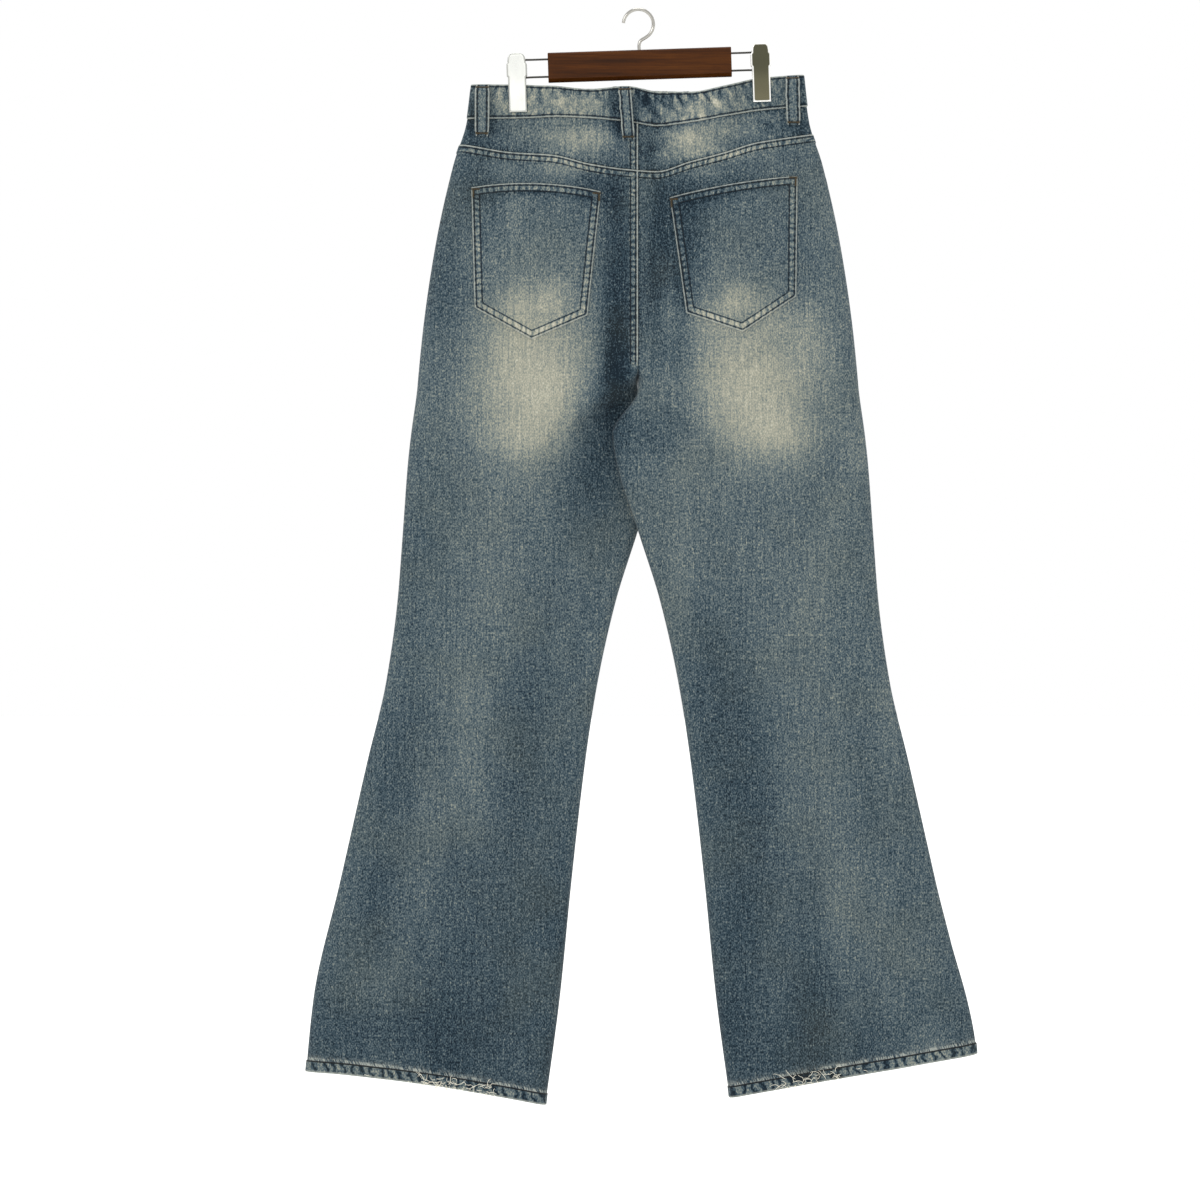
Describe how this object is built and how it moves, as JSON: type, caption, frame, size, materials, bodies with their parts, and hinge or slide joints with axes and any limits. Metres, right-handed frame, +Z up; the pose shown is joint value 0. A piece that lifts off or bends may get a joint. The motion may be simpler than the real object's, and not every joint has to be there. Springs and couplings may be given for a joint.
{
  "type": "flared jeans on a clip hanger",
  "caption": "Flared denim jeans with a yoke, patch pockets, belt loops and raw-worn hems, hung flat by the waistband from a wooden clip hanger.",
  "frame": {"origin": "inside top of the hanger's hook, where it rests on a rail", "axes": "+Z up, +X to the viewer's right when the back of the jeans is seen, +Y towards the front (fly) of the jeans"},
  "size_m": [0.7071, 0.0464, 1.1512],
  "materials": {
    "denim": "washed twill",
    "zip_tape": "woven tape",
    "brass": "aged satin",
    "hanger_wood": "stained and lacquered",
    "hanger_steel": "polished"
  },
  "bodies": {
    "root": {"back_panel_left": "denim", "front_panel_left": "denim", "yoke_left": "denim", "waistband_left": "denim", "back_pocket_left": "denim", "front_pocket_facing_left": "denim", "back_panel_right": "denim", "front_panel_right": "denim", "yoke_right": "denim", "waistband_right": "denim", "back_pocket_right": "denim", "front_pocket_facing_right": "denim", "belt_loop_back_centre": "denim", "belt_loop_back_left": "denim", "belt_loop_back_right": "denim", "belt_loop_front_left": "denim", "belt_loop_front_right": "denim", "zip_tape": "zip_tape", "zip_slider": "brass", "waist_button": "brass", "hanger_hook": "hanger_steel", "hanger_bar": "hanger_wood", "hanger_rail_left": "hanger_steel", "hanger_rail_right": "hanger_steel", "clip_left_back_jaw": "hanger_steel", "clip_left_front_jaw": "hanger_steel", "clip_left_core": "hanger_steel", "clip_right_back_jaw": "hanger_steel", "clip_right_front_jaw": "hanger_steel", "clip_right_core": "hanger_steel"}
  },
  "joints": []
}
